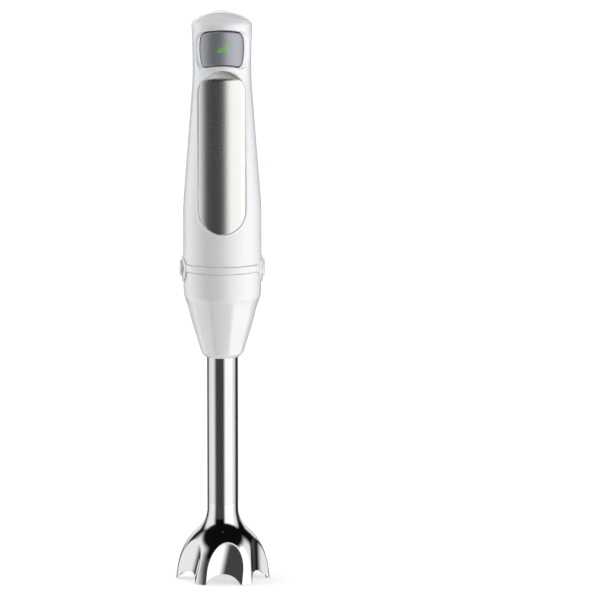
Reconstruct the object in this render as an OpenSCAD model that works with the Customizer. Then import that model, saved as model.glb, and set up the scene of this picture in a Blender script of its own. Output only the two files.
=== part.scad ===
// Immersion blender: a motor handle that plugs onto a steel blending shaft.
// +Z runs up the long axis, the front (speed switch side) faces -Y, and the origin is on the
// axis in the plane of the bell's feet. Millimetres.

/* [Bell and shaft] */
// Level where the bell's dome has run out into its neck
neck_level = 48.9; // [48.5:0.1:50]
// Thickness of the bell's steel sheet
bell_wall = 1; // [0.8:0.1:1.2]
// Height where the bell's neck meets the shaft tube
bell_top = 53.4; // [52:0.2:55]
// Radius of the bell's neck and the shaft tube
tube_r = 10.7; // [10.5:0.1:11]
// Wall of the shaft tube
tube_wall = 0.8; // [0.6:0.1:1]
// Number of feet, and of the scooped panels between them
foot_count = 6; // [6:1:6]
// Height of the rim notch between two feet
notch_h = 7; // [5:0.5:8]

/* [Coupling] */
// Bottom of the white coupling housing
housing_bottom = 155.5; // [154:0.5:157]
// Parting line between the coupling housing and the handle
parting_z = 216.1; // [216:0.1:216.4]
// Radius of the housing's rim and of the handle just above it
handle_r = 27; // [26.8:0.1:27.2]
// Inner radius of the socket that the handle's spigot drops into
socket_r = 22; // [21.9:0.1:22.1]

/* [Handle] */
// Radius of the handle's neck, level with the speed switch
neck_r = 20.2; // [20:0.1:20.4]
// Radius of the handle where its crown starts
crown_r = 20.85; // [20.7:0.05:21]
// Full height of the blender
total_h = 395.5; // [395:0.5:396]
// Wall of the handle's plastic shells
shell_wall = 2.2; // [2:0.1:2.4]
// Half width of the steel front panel
panel_half_w = 16.2; // [15.8:0.1:16.4]
// Lowest point of the steel front panel
panel_bottom = 243.9; // [242:0.5:246]
// Highest point of the steel front panel
panel_top = 355.9; // [355:0.1:356]
// Lean of the panel's upper stretch, in degrees
panel_lean = 5.5; // [5:0.1:5.6]

/* [Motor] */
// Radius of the stator's lamination stack
stator_r = 21; // [20:0.5:21]
// Radius of the armature
armature_r = 12; // [11.5:0.1:12]
// Height of the lamination stack
stack_h = 24; // [22:1:24]
// Number of blades on the cooling fan
fan_blades = 9; // [7:1:11]

/* [Blade] */
// Radius swept by the blade's tips
blade_r = 22; // [20:0.5:22.5]
// Thickness of the blade's steel
blade_t = 1.4; // [1.2:0.1:1.6]
// Radius of the drive shaft
drive_r = 3; // [2.8:0.1:3]

/* [Hidden] */

$fn = 96;
eps = 0.5;              // overrun of a cutting solid past the face it cuts
gap = 0.3;              // free space between pieces that move or that are seen apart
run_fit = 0.05;         // radial clearance of a shaft in its bush

// Bell outline, from the neck down: concave neck arc, two convex dome arcs, straight skirt.
// Each lean is the outline's angle from the upright where one stretch meets the next.
neck_arc_r = 18.3;
dome_high_r = 41;
dome_low_r = 44;
neck_lean = 49.5;
dome_lean = 25;
skirt_lean = 8;
neck_centre = [tube_r + neck_arc_r, neck_level];
dome_high_centre = neck_centre - (neck_arc_r + dome_high_r) * [cos(neck_lean), sin(neck_lean)];
dome_low_centre = dome_high_centre
    + (dome_high_r - dome_low_r) * [cos(dome_lean), sin(dome_lean)];

// Scooped panels between the feet
scoop_r = 29;           // radius of the scooping cylinder
scoop_foot_r = 27.4;    // distance of the panel's middle from the axis, at the rim
scoop_lean = 9;         // inward lean of the panel
scoop_swirl = 12;       // sideways lean of the panel
scoop_h = 60;
notch_r = 14.3;         // radius of the notch cut in the rim

blade_z = 13;           // level of the blade's sheet at its hub
blade_neck = 1.5;       // how far the hub stands out on both sides of the sheet

// Levels inside the handle
crown_corner_r = 4.4;
crown_ball_r = 33;
crown_ball_z = total_h - crown_ball_r;
crown_corner_x = crown_r - crown_corner_r;
crown_corner_z = crown_ball_z
    + sqrt(pow(crown_ball_r - crown_corner_r, 2) - pow(crown_corner_x, 2));
crown_turn = atan2(crown_corner_z - crown_ball_z, crown_corner_x);
taper_start = 256;      // the handle is a plain cylinder below this level
taper_full = 268;       // and a straight cone from here
taper_end = 340;
neck_z = 358;           // narrowest level
taper_slope = (handle_r - neck_r)
    / ((taper_full - taper_start) / 2 + taper_end - taper_full + (neck_z - taper_end) / 2);

// Collar between the handle and the housing
collar_top = 221.3;
collar_r = handle_r + 0.6;
eyelet_z = 217.6;
eyelet_r = 8.8;         // end radius of the raised ring round a release button
eyelet_side = 2.95;     // sideways offset of its two end arcs
button_z = 218.1;
button_r = 5.65;
button_side = 2.05;
button_tip = 29.5;      // distance of a button's face from the axis
button_dome_r = 70;     // the face is slightly domed
eyelet_out = 27.9;
spigot_r = socket_r - gap;
spigot_wall = 2;
spigot_bottom = 199;
cup_top = 209.5;
seal_z = 208.3;

// Shell split, seams and grip
split_y = -6.5;
seam_z = 386.6;         // height of the crown's seam on the axis
seam_lean = 14.8;
grip_t = 1;
grip_low = 240;
grip_high = 375;
grip_round_r = 27.6;

// Front panel
panel_t = 1.1;
panel_bed = 3;          // depth of the cavity's front wall behind the panel's face

// Speed switch
switch_z = 371;
switch_half_w = 15.5;
switch_side_r = 45;
switch_high = 383;
switch_top_r = 55;
switch_low = 360;
switch_bottom_r = 48;
switch_face_r = 20.7;
switch_back_r = 18.3;
switch_window = 0.8;
bar_w = 1.1;            // the icon's bars: width, spacing, and how much each one is higher
bar_pitch = 1.7;
bar_rise = 1.1;
pivot_y = -15;
pivot_z = 359;
pin_r = 1;

// Cord inlet
gland_z = 366;
gland_bore_r = 3.6;
gland_r = 5.6;
gland_back = 23;
gland_front = 8.5;
lead_r = 0.9;

// Unlock button on the crown
unlock_lean = 15.8;
unlock_r = 4.4;
unlock_side = 3;

// Motor levels
stack_low = 244;
stack_high = stack_low + stack_h;
post_r = 2.2;
post_at = 19;
screw_r = 1.4;
motor_shaft_r = 2.5;
bush_r = 5;
coil_turn = 120;        // angle that a field coil spans round the stack
pole_turn = 76;         // angle that a pole shoe spans

// Springs
spring_sides = 6;       // sides of a spring wire's cross-section
spring_steps = 12;      // sections in one turn of a spring

white = "white";
steel = "silver";
dark = "dimgray";
copper = "peru";

// ---------------------------------------------------------------- shared shapes

// Half of the handle's outline, at a height above the collar
function handle_radius(z) =
    z < taper_start ? handle_r
    : z < taper_full
        ? handle_r - taper_slope * pow(z - taper_start, 2) / (2 * (taper_full - taper_start))
    : z < taper_end
        ? handle_r - taper_slope * (z - (taper_start + taper_full) / 2)
    : z < neck_z
        ? neck_r + taper_slope * pow(neck_z - z, 2) / (2 * (neck_z - taper_end))
    : neck_r + (crown_r - neck_r) * pow((z - neck_z) / (crown_corner_z - neck_z), 2);

// Points of an arc, from one angle to another
function arc(centre, r, from, to, steps) =
    [for (i = [0:steps]) let (a = from + (to - from) * i / steps)
        centre + r * [cos(a), sin(a)]];

// The handle as a solid of revolution, pulled in by inset, from a given level up
module handle_solid(inset, low, step) {
    rotate_extrude()
        polygon(concat(
            [[0, low], [handle_r - inset, low]],
            [for (z = [taper_start:step:crown_corner_z - step / 2]) [handle_radius(z) - inset, z]],
            arc([crown_corner_x, crown_corner_z], crown_corner_r - inset, 0, crown_turn, 5),
            arc([0, crown_ball_z], crown_ball_r - inset, crown_turn + 5, 90, 6)));
}

// Stadium outline: two end arcs and a straight stretch between them
module stadium(r, side) {
    for (x = [-side, side])
        translate([x, 0]) circle(r);
    square([2 * side, 2 * r], center = true);
}

// Stands an outline drawn in x and z up, and extrudes it from the plane y = front to y = back
module stand(front, back) {
    translate([0, back, 0]) rotate([90, 0, 0]) linear_extrude(back - front) children();
}

// Turns a solid drawn along +Z so that it points to the right (+X) or the left (-X)
module sideways(side, z) {
    translate([0, 0, z]) rotate([90, 0, 90 * side]) children();
}

// The body whose skin is the front panel's face, pulled in by inset: an upright cylinder that
// leans back above the taper's start
module panel_body(inset) {
    intersection() {
        translate([0, 0, parting_z]) cylinder(r = handle_r - inset, h = total_h - parting_z);
        translate([0, 0, taper_start + 2])
            rotate([-panel_lean, 0, 0])
            translate([0, 0, -total_h / 2])
            cylinder(r = handle_r - inset, h = total_h);
    }
}

module panel_outline(grow) {
    low = panel_bottom + panel_half_w;
    high = panel_top - panel_half_w;
    for (z = [low, high])
        translate([0, z]) circle(panel_half_w + grow);
    translate([-panel_half_w - grow, low]) square([2 * (panel_half_w + grow), high - low]);
}

// The switch's face outline: bulging sides, and a top and a bottom edge that both arch upwards
module switch_outline(grow) {
    difference() {
        intersection() {
            intersection_for (side = [-1, 1])
                translate([side * (switch_half_w - switch_side_r), switch_z])
                circle(switch_side_r + grow, $fn = 180);
            translate([0, switch_high - switch_top_r]) circle(switch_top_r + grow, $fn = 180);
        }
        translate([0, switch_low - switch_bottom_r]) circle(switch_bottom_r - grow, $fn = 180);
    }
}

// Half space above the crown's leaning seam, from a given height on the axis
module above_seam(z) {
    translate([0, 0, z]) rotate([-seam_lean, 0, 0])
        translate([-total_h / 8, -total_h / 8, 0]) cube([total_h / 4, total_h / 4, 60]);
}

// Helical spring that stands on z = 0
module coil_spring(coil_r, wire_r, height, turns) {
    steps = turns * spring_steps;
    rise = height - 2 * wire_r;
    points = [for (i = [0:steps], j = [0:spring_sides - 1])
        let (turn = 360 * i / spring_steps,
             side = 360 * j / spring_sides,
             r = coil_r + wire_r * cos(side))
        [r * cos(turn), r * sin(turn), wire_r + rise * i / steps + wire_r * sin(side)]];
    skin = [for (i = [0:steps - 1], j = [0:spring_sides - 1])
        let (a = i * spring_sides + j,
             b = i * spring_sides + (j + 1) % spring_sides)
        each [[a, a + spring_sides, b], [b, a + spring_sides, b + spring_sides]]];
    ends = [[for (j = [0:spring_sides - 1]) j],
        [for (j = [spring_sides - 1:-1:0]) steps * spring_sides + j]];
    polyhedron(points, concat(skin, ends));
}

// ---------------------------------------------------------------- blending shaft

// Bell as a solid of revolution pulled in by inset, before its panels are scooped. Its seam
// is turned into the middle of a panel.
module bell_body(inset, low, high) {
    low_arc = arc(dome_low_centre, dome_low_r - inset, skirt_lean, dome_lean, 3);
    high_arc = arc(dome_high_centre, dome_high_r - inset, dome_lean + 5, neck_lean, 4);
    neck_arc = arc(neck_centre, neck_arc_r + inset, 180 + neck_lean - 10, 180, 4);
    foot = low_arc[0] + (low_arc[0][1] - low) * [tan(skirt_lean), -1];
    rotate(180 / foot_count) rotate_extrude()
        polygon(concat([[0, low], foot], low_arc, high_arc, neck_arc,
            [[tube_r - inset, high], [0, high]]));
}

// The six cylinders that scoop the panels, grown inwards by inset
module scoops(inset) {
    for (i = [0:foot_count - 1])
        rotate(360 * i / foot_count)
        translate([0, -scoop_foot_r, 0])
        rotate([-scoop_lean, scoop_swirl, 0])
        translate([0, -scoop_r, -scoop_h / 3])
        cylinder(r = scoop_r + inset, h = scoop_h);
}

module bell() {
    color(steel) difference() {
        bell_body(0, 0, bell_top);
        scoops(0);
        difference() {
            bell_body(bell_wall, -eps, bell_top + eps);
            scoops(bell_wall);
        }
        for (i = [0:foot_count - 1])
            rotate(360 * i / foot_count)
            translate([0, 0, notch_h - notch_r]) rotate([90, 0, 0]) cylinder(r = notch_r, h = 40);
    }
}

module shaft_tube() {
    color(steel) translate([0, 0, bell_top]) difference() {
        cylinder(r = tube_r, h = 192 - bell_top);
        translate([0, 0, -eps]) cylinder(r = tube_r - tube_wall, h = 200 - bell_top);
    }
}

// Plastic plug in the bell's neck that holds the lower bush and the seal
module bell_insert() {
    plug_r = tube_r - bell_wall;
    color(dark) rotate_extrude() polygon([[6.2, 31], [plug_r, 31], [plug_r, 62], [5, 62],
        [5, 38], [6.2, 38]]);
}

module lower_bush() {
    color("goldenrod") translate([0, 0, 40]) difference() {
        cylinder(r = 5, h = 20);
        translate([0, 0, -eps]) cylinder(r = drive_r + run_fit, h = 21);
    }
}

module shaft_seal() {
    color("black") rotate_extrude() polygon([[drive_r + run_fit, 32], [6.2, 31.5], [6.2, 38],
        [4.4, 38], [4.4, 35], [drive_r + run_fit, 33.5]]);
}

module upper_bush() {
    color("goldenrod") translate([0, 0, 176]) difference() {
        cylinder(r = tube_r - tube_wall, h = 10);
        translate([0, 0, -eps]) cylinder(r = drive_r + run_fit, h = 11);
    }
}

// Outline of the coupling housing, pulled in by inset
function housing_points(inset) =
    [for (p = [[11.3, housing_bottom], [14.4, 158.1], [15.2, 160.4], [20.6, 177.8],
        [24.3, 191.7], [25.5, 195.2], [26.4, 198.5], [26.8, 203], [26.8, parting_z]])
        [p[0] - inset, p[1]]];

module housing_body(inset, low, high) {
    points = housing_points(inset);
    rotate_extrude() polygon(concat([[0, low]], [[points[0][0], low]], points,
        [[points[len(points) - 1][0], high], [0, high]]));
}

module coupling_housing() {
    color(white) difference() {
        housing_body(0, housing_bottom, parting_z);
        difference() {
            housing_body(2.2, housing_bottom - eps, parting_z + eps);
            cylinder(r = 13.5, h = 159.5);
        }
        cylinder(r = tube_r, h = 165);
        for (side = [-1, 1])
            sideways(side, eyelet_z) translate([0, 0, socket_r])
                linear_extrude(10) stadium(eyelet_r + gap, eyelet_side);
    }
}

// Inner frame of the housing: sleeve on the tube, floor, and the cup that takes the spigot
module coupling_core() {
    color("gainsboro") difference() {
        rotate_extrude() polygon([[tube_r, 159.8], [12.6, 159.8], [12.6, 186], [15, 193],
            [23.4, 195.8], [23.9, 198], [23.9, cup_top], [socket_r, cup_top], [socket_r, 198],
            [9, 198], [9, 192], [tube_r, 192]]);
        for (side = [-1, 1])
            sideways(side, 204) translate([0, 0, socket_r - 1]) linear_extrude(1.8)
                square([10, 6], center = true);
    }
}

// ---------------------------------------------------------------- blade and its drive

module blade() {
    color(steel) translate([0, 0, blade_z]) difference() {
        union() {
            translate([0, 0, -blade_neck]) cylinder(r = 5.6, h = blade_t + 2 * blade_neck);
            for (wing = [0, 1])
                rotate(180 * wing) rotate([10, wing == 0 ? -6 : 6, 0]) linear_extrude(blade_t)
                    intersection() {
                        polygon([[3, -4.6], [blade_r * 0.6, -4.9], [blade_r, -2.5],
                            [blade_r, 2], [blade_r * 0.6, 4.4], [3, 4.6]]);
                        circle(blade_r);
                    }
        }
        translate([0, 0, -5]) cylinder(r = drive_r, h = 10);
    }
}

module blade_hub() {
    low = blade_z + blade_t + blade_neck;
    color(dark) rotate_extrude() polygon([[drive_r, low], [6.5, low], [6.5, low + 1.4],
        [4.6, low + 5], [4.6, 27], [drive_r, 28]]);
}

module drive_shaft() {
    color(steel) {
        translate([0, 0, blade_z - 4]) cylinder(r = drive_r, h = 196 - blade_z);
        translate([0, 0, blade_z - 4]) cylinder(r = drive_r + 1.4, h = 4 - blade_neck);
    }
}

// Female half of the coupling, with a hexagonal mouth
module drive_socket() {
    color(dark) difference() {
        union() {
            translate([0, 0, 189]) cylinder(r = 6, h = 9);
            translate([0, 0, 197]) cylinder(r = 7.4, h = 11);
        }
        translate([0, 0, 188]) cylinder(r = drive_r, h = 4);
        translate([0, 0, 197.5]) cylinder(r = 5.2, h = 12, $fn = 6);
    }
}

module retaining_clip() {
    color(steel) translate([0, 0, 186.6]) difference() {
        cylinder(r = 5, h = 0.8);
        translate([0, 0, -eps]) cylinder(r = drive_r, h = 2);
        translate([0, -1.4, -eps]) cube([8, 2.8, 2]);
    }
}

// ---------------------------------------------------------------- handle casing

module shell_cavity() {
    difference() {
        handle_solid(shell_wall, collar_top - eps, 6);
        difference() {
            translate([-30, -40, collar_top - 1])
                cube([60, 40, panel_top + 1 - collar_top + 1]);
            panel_body(panel_bed);
        }
    }
}

module casing() {
    difference() {
        handle_solid(0, collar_top + 0.2, 4);
        above_seam(seam_z - 0.15);
        shell_cavity();
        for (side = [-1, 1])
            sideways(side, eyelet_z) translate([0, 0, socket_r])
                linear_extrude(10) stadium(eyelet_r + gap / 2, eyelet_side);
    }
}

module front_shell() {
    color(white) difference() {
        casing();
        translate([-40, split_y - 0.1, collar_top - 1]) cube([80, 80, 200]);
        difference() {
            stand(-40, split_y) panel_outline(0.2);
            panel_body(panel_t);
        }
        stand(-40, 0) switch_outline(switch_window);
        difference() {
            stand(-40, 0) switch_outline(2.6);
            cylinder(r = 19.2, h = total_h);
        }
        translate([-10.5, -16.8, panel_top + 0.8]) cube([21, 20, 8]);
    }
}

module grip_region(grow) {
    difference() {
        translate([0, split_y, 0]) stand(0, 60) {
            translate([0, grip_low + grip_round_r]) circle(grip_round_r + grow);
            translate([-40, grip_low + grip_round_r])
                square([80, grip_high + grow - grip_low - grip_round_r]);
        }
        handle_solid(grip_t + grow, parting_z, 6);
    }
}

module rear_shell() {
    color(white) difference() {
        casing();
        translate([-40, -80 + split_y + 0.1, collar_top - 1]) cube([80, 80, 200]);
        grip_region(0);
        gland_bore(gland_r);
    }
}

module rear_grip() {
    color("lightgray") difference() {
        intersection() {
            difference() {
                handle_solid(0, parting_z, 4);
                translate([-40, -80 + split_y + 0.1, 0]) cube([80, 80, total_h]);
            }
            grip_region(0);
        }
        gland_bore(gland_r + 1.9);
    }
}

// Cylinder along the cord inlet's axis
module gland_bore(r) {
    translate([0, gland_front - eps, gland_z]) rotate([-90, 0, 0]) cylinder(r = r, h = 30);
}

module cord_gland() {
    color(dark) difference() {
        translate([0, 0, gland_z]) rotate([-90, 0, 0]) {
            translate([0, 0, gland_front]) cylinder(r = gland_r, h = gland_back - gland_front);
            translate([0, 0, gland_front]) cylinder(r = gland_r + 1.6, h = 6);
            translate([0, 0, 20.6]) cylinder(r = gland_r + 1.6, h = gland_back - 20.6);
        }
        gland_bore(gland_bore_r);
    }
}

module top_cap() {
    color(white) difference() {
        intersection() {
            handle_solid(0, parting_z, 4);
            above_seam(seam_z + 0.15);
        }
        intersection() {
            handle_solid(2, parting_z, 6);
            above_seam(seam_z - 2);
        }
        on_crown() linear_extrude(40) stadium(unlock_r + gap, unlock_side);
    }
}

// Places a solid on the crown's leaning axis, with z = 0 at the crown ball's centre
module on_crown() {
    translate([0, 0, crown_ball_z]) rotate([-unlock_lean, 0, 0]) children();
}

module steel_panel() {
    color(steel) difference() {
        intersection() {
            stand(-40, -5) panel_outline(0);
            panel_body(0);
        }
        panel_body(panel_t);
    }
}

// Ring below the handle with its spigot, its bearing hub and the eyelets of both buttons
module lower_collar() {
    color(white) difference() {
        union() {
            rotate_extrude() {
                polygon([[spigot_r - spigot_wall, spigot_bottom],
                    [spigot_r - 0.6, spigot_bottom], [spigot_r, spigot_bottom + 1],
                    [spigot_r, parting_z + gap], [collar_r - 0.4, parting_z + gap],
                    [collar_r, parting_z + 0.8], [collar_r, collar_top - 0.4],
                    [collar_r - 0.4, collar_top], [24.6, collar_top], [24.6, 218.6],
                    [spigot_r - spigot_wall, 218.6]]);
                translate([8.2, 213]) square([3, collar_top - 213]);
            }
            for (side = [-1, 1])
                translate([0, side * 15.3, 215]) cube([8, 9, 4], center = true);
            for (side = [-1, 1])
                sideways(side, eyelet_z) translate([0, 0, 24])
                    linear_extrude(eyelet_out - 24) stadium(eyelet_r, eyelet_side);
        }
        for (side = [-1, 1]) {
            sideways(side, button_z) translate([0, 0, 18])
                linear_extrude(12) stadium(button_r + gap, button_side);
            sideways(side, 204) translate([0, 0, 19]) linear_extrude(4)
                square([9.2, 5.2], center = true);
        }
        difference() {
            translate([0, 0, 205]) cylinder(r = 40, h = 25);
            translate([0, 0, 204]) cylinder(r = eyelet_out, h = 27);
        }
        difference() {
            translate([0, 0, seal_z - 0.6]) cylinder(r = spigot_r + 1, h = 1.2);
            translate([0, 0, seal_z - 1]) cylinder(r = spigot_r - 0.9, h = 2);
        }
    }
}

module collar_seal() {
    color("black") translate([0, 0, seal_z]) rotate_extrude() translate([spigot_r - 0.4, 0])
        circle(0.5, $fn = 24);
}

// ---------------------------------------------------------------- motor

module lower_motor_bush() {
    color("goldenrod") motor_bush(221.5, 6);
}

module upper_motor_bush() {
    color("goldenrod") motor_bush(289, 6);
}

module motor_bush(z, h) {
    translate([0, 0, z]) difference() {
        cylinder(r = bush_r, h = h);
        translate([0, 0, -eps]) cylinder(r = motor_shaft_r + run_fit, h = h + 2 * eps);
    }
}

module posts(low, high) {
    for (side = [-1, 1])
        translate([side * post_at, 0, low]) cylinder(r = post_r, h = high - low, $fn = 32);
}

module screw_holes() {
    for (side = [-1, 1])
        translate([side * post_at, 0, 215]) cylinder(r = screw_r, h = 90, $fn = 32);
}

module motor_lower_bracket() {
    color(dark) difference() {
        union() {
            translate([0, 0, 224]) intersection() {
                cylinder(r = 22, h = 2.4);
                cube([60, 24, 10], center = true);
            }
            translate([0, 0, 221.5]) cylinder(r = bush_r + 2, h = 4);
            posts(225, stack_low);
        }
        translate([0, 0, 215]) cylinder(r = bush_r, h = 20);
        screw_holes();
    }
}

module motor_upper_bracket() {
    color(dark) difference() {
        union() {
            translate([0, 0, 290]) intersection() {
                cylinder(r = 21.6, h = 2.4);
                cube([60, 24, 10], center = true);
            }
            translate([0, 0, 289]) cylinder(r = bush_r + 2, h = 5);
            posts(stack_high, 291);
        }
        translate([0, 0, 280]) cylinder(r = bush_r, h = 20);
        screw_holes();
    }
}

module stator_stack() {
    color("slategray") translate([0, 0, stack_low]) difference() {
        union() {
            difference() {
                cylinder(r = stator_r, h = stack_h);
                translate([0, 0, -eps]) cylinder(r = 18.6, h = stack_h + 1);
            }
            for (pole = [90, 270])
                rotate(pole - pole_turn / 2) rotate_extrude(angle = pole_turn)
                    translate([armature_r + 0.4, 0]) square([7.6 - armature_r + 12, stack_h]);
            for (side = [-1, 1])
                translate([side * (post_at - 1), 0, 0]) intersection() {
                    cylinder(r = post_r + 1, h = stack_h, $fn = 32);
                    translate([side * 3, 0, 0]) cube([6, 20, 80], center = true);
                }
        }
        translate([0, 0, -stack_low]) screw_holes();
    }
}

// Two field coils, one round each pole shoe
module field_coils() {
    color(copper) for (pole = [90, 270])
        rotate(pole) difference() {
            translate([0, 0, stack_low - 5]) rotate(-coil_turn / 2)
                rotate_extrude(angle = coil_turn) translate([13.2, 0]) square([5, stack_h + 10]);
            translate([0, 0, stack_low - 0.3]) rotate(-pole_turn / 2 - 1)
                rotate_extrude(angle = pole_turn + 2) translate([12, 0])
                square([8, stack_h + 0.6]);
        }
}

module motor_screws() {
    color(steel) for (side = [-1, 1])
        translate([side * post_at, 0, 0]) {
            translate([0, 0, 224.2]) cylinder(r = screw_r, h = 69, $fn = 32);
            translate([0, 0, 292.4]) cylinder(r = 2.4, h = 1.8, $fn = 32);
        }
}

// Brush gear: two brass tubes that guide the carbons onto the commutator
module brush_holders() {
    color("gold") for (side = [-1, 1])
        sideways(1, 281) rotate([0, side * 90, 0]) difference() {
            translate([-3.6, -3.1, 8]) cube([7.2, 6.2, 9.5]);
            translate([-2.8, -2.3, 7]) cube([5.6, 4.6, 9.3]);
        }
}

module carbon_brushes() {
    color("black") for (side = [-1, 1])
        sideways(1, 281) rotate([0, side * 90, 0]) difference() {
            translate([-2.7, -2.2, 6.6]) cube([5.4, 4.4, 5.4]);
            rotate([90, 0, 0]) translate([0, 0, -10]) cylinder(r = 7.3, h = 20);
        }
}

module brush_springs() {
    color(steel) for (side = [-1, 1])
        sideways(1, 281) rotate([0, side * 90, 0]) translate([0, 0, 12.1])
            coil_spring(1.6, 0.3, 4.1, 3);
}

// ---------------------------------------------------------------- electronics

module control_board() {
    color("darkgreen") difference() {
        translate([-15, 4, 300]) cube([30, 1.6, 50]);
        for (x = [-12, 12])
            translate([x, 0, 346.5]) rotate([-90, 0, 0]) cylinder(r = 1.3, h = 10, $fn = 32);
    }
}

// Capacitor, choke, power switch with its heat sink, and connector on the board
module board_components() {
    color("black") {
        translate([-7, 1.9, 0]) translate([0, -4.5, 304]) cylinder(r = 4.5, h = 14);
        translate([2, -1.8, 304]) cube([9, 5.7, 12]);
        translate([-11, -3, 324]) cube([10, 6.9, 7]);
        translate([3, 0.6, 321]) cube([8, 3.3, 14]);
        translate([-8, 5.7, 306]) cube([16, 6, 9]);
        translate([-6, 5.7, 338]) cube([12, 5, 6]);
    }
}

// Two insulated leads from the front of the cord inlet down to the board's connector
module internal_leads() {
    color("steelblue") for (side = [-1, 1])
        translate([side * 1.6, gland_front - 1.8, 0]) {
            translate([0, 0, 344.2]) cylinder(r = lead_r, h = gland_z - 344.2, $fn = 24);
            translate([0, 0, gland_z]) sphere(r = lead_r, $fn = 24);
            translate([0, 0, gland_z]) rotate([-90, 0, 0]) cylinder(r = lead_r, h = 1.6, $fn = 24);
        }
}

// Inner frame that carries the switch's pin, the board and both spring seats
module switch_carrier() {
    color(dark) {
        difference() {
            union() {
                translate([-12, -6, 346]) cube([24, 2.4, 36]);
                for (x = [-8.6, 6])
                    translate([x, -16.4, 357.4]) cube([2.6, 11, 3.2]);
            }
            pivot_hole(pin_r);
        }
        for (x = [-12, 12])
            translate([x, -6, 346.5]) rotate([-90, 0, 0]) cylinder(r = 1.2, h = 11.4, $fn = 32);
        translate([-9, -6, 379.6]) cube([18, 16, 1.6]);
    }
}

module switch_pin() {
    color(steel) translate([-8.6, pivot_y, pivot_z]) rotate([0, 90, 0])
        cylinder(r = pin_r, h = 17.2, $fn = 32);
}

// ---------------------------------------------------------------- rotor

module rotor_shaft() {
    color(steel) translate([0, 0, 206]) cylinder(r = motor_shaft_r, h = 91);
}

module armature_core() {
    color("slategray") translate([0, 0, stack_low]) difference() {
        cylinder(r = armature_r, h = stack_h);
        translate([0, 0, -eps]) cylinder(r = motor_shaft_r, h = stack_h + 1);
        for (i = [0:11])
            rotate(30 * i) translate([armature_r - 3.4, -0.9, -eps])
                cube([4, 1.8, stack_h + 1]);
    }
}

module armature_windings() {
    color(copper) for (z = [stack_low - 4, stack_high])
        translate([0, 0, z]) difference() {
            cylinder(r = 10.6, h = 4);
            translate([0, 0, -eps]) cylinder(r = motor_shaft_r, h = 5);
        }
}

module commutator() {
    color(copper) translate([0, 0, 275]) difference() {
        union() {
            cylinder(r = 7, h = 11);
            cylinder(r = 8, h = 1.6);
        }
        translate([0, 0, -eps]) cylinder(r = motor_shaft_r, h = 12);
        for (i = [0:11])
            rotate(30 * i) translate([6, -0.3, -eps]) cube([3, 0.6, 12]);
    }
}

module cooling_fan() {
    color("gainsboro") translate([0, 0, 229]) difference() {
        union() {
            cylinder(r = 5.5, h = 8);
            cylinder(r = 16, h = 1.2);
            for (i = [0:fan_blades - 1])
                rotate(360 * i / fan_blades) translate([5, -0.5, 0.6]) cube([10.6, 1, 6]);
        }
        translate([0, 0, -eps]) cylinder(r = motor_shaft_r, h = 9);
    }
}

// Male half of the coupling: a hexagonal nose below a flange
module drive_coupler() {
    color(dark) difference() {
        union() {
            translate([0, 0, 198.5]) cylinder(r = 4.7, h = 12, $fn = 6);
            translate([0, 0, 209]) cylinder(r = 6.4, h = 8);
        }
        translate([0, 0, 206]) cylinder(r = motor_shaft_r, h = 12);
    }
}

// ---------------------------------------------------------------- controls

module switch_cap() {
    color("lightsteelblue") difference() {
        union() {
            difference() {
                intersection() {
                    stand(-30, -11.5) switch_outline(0);
                    cylinder(r = switch_face_r, h = total_h);
                }
                intersection() {
                    stand(-30, 0) switch_outline(-1.8);
                    cylinder(r = switch_back_r, h = total_h);
                }
                switch_icon(0.4);
            }
            for (x = [-5.4, 3.4])
                translate([x, -16.5, 357.9]) cube([2, 3.6, 3.4]);
        }
        pivot_hole(pin_r + run_fit);
        for (x = [-8.9, 5.7])
            translate([x, -17, 357]) cube([3.2, 8, 4.6]);
    }
}

// Cylinder along the switch's pivot
module pivot_hole(r) {
    translate([-20, pivot_y, pivot_z]) rotate([0, 90, 0]) cylinder(r = r, h = 40, $fn = 32);
}

// A small pointer and four rising bars, cut into the switch's face or filling that cut
module switch_icon(depth) {
    difference() {
        stand(-30, -10) translate([-0.4, 368.8]) {
            polygon([[-4.2, 0.8], [-3, 0], [-3, 1.6]]);
            for (i = [0:3])
                translate([-2.2 + bar_pitch * i, 0]) square([bar_w, 2 + bar_rise * i]);
        }
        cylinder(r = switch_face_r - depth, h = total_h);
    }
}

module speed_indicator() {
    color("limegreen") intersection() {
        switch_icon(0.4);
        cylinder(r = switch_face_r + 0.05, h = total_h);
    }
}

module switch_spring() {
    color(steel) translate([0, -6.2, 377]) rotate([90, 0, 0]) coil_spring(2.4, 0.35, 11.8, 5);
}

module unlock_button() {
    color("gainsboro") on_crown() {
        intersection() {
            translate([0, 0, 27.5]) linear_extrude(10) stadium(unlock_r, unlock_side);
            sphere(r = crown_ball_r + 0.3);
        }
        translate([0, 0, 27.5]) linear_extrude(2.2) stadium(unlock_r + 1, unlock_side);
    }
}

module unlock_spring() {
    color(steel) on_crown() translate([0, 0, 20.6]) coil_spring(2.2, 0.35, 6.8, 4);
}

// A release button's cap, on its shank through the collar
module release_button(side) {
    color(white) sideways(side, button_z) intersection() {
        translate([0, 0, 22.2]) linear_extrude(8) stadium(button_r, button_side);
        translate([0, 0, button_tip - button_dome_r]) sphere(r = button_dome_r);
    }
}

// The latch arm behind a release button, with its nose at the spigot's window
module latch(side) {
    color("gainsboro") {
        sideways(side, button_z) translate([0, 0, 17]) linear_extrude(5.2)
            stadium(button_r - 0.6, button_side);
        sideways(side, 0) {
            translate([-4.4, 202, 17]) cube([8.8, 16, 1.8]);
            translate([-4.2, 202, 17]) cube([8.4, 4, 4.4]);
        }
    }
}

module latch_spring(side) {
    color(steel) sideways(side, button_z) translate([0, 0, 11.4]) coil_spring(2.6, 0.35, 5.5, 4);
}

module release_button_right() { release_button(1); }
module release_button_left() { release_button(-1); }
module latch_right() { latch(1); }
module latch_left() { latch(-1); }
module latch_spring_right() { latch_spring(1); }
module latch_spring_left() { latch_spring(-1); }

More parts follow.
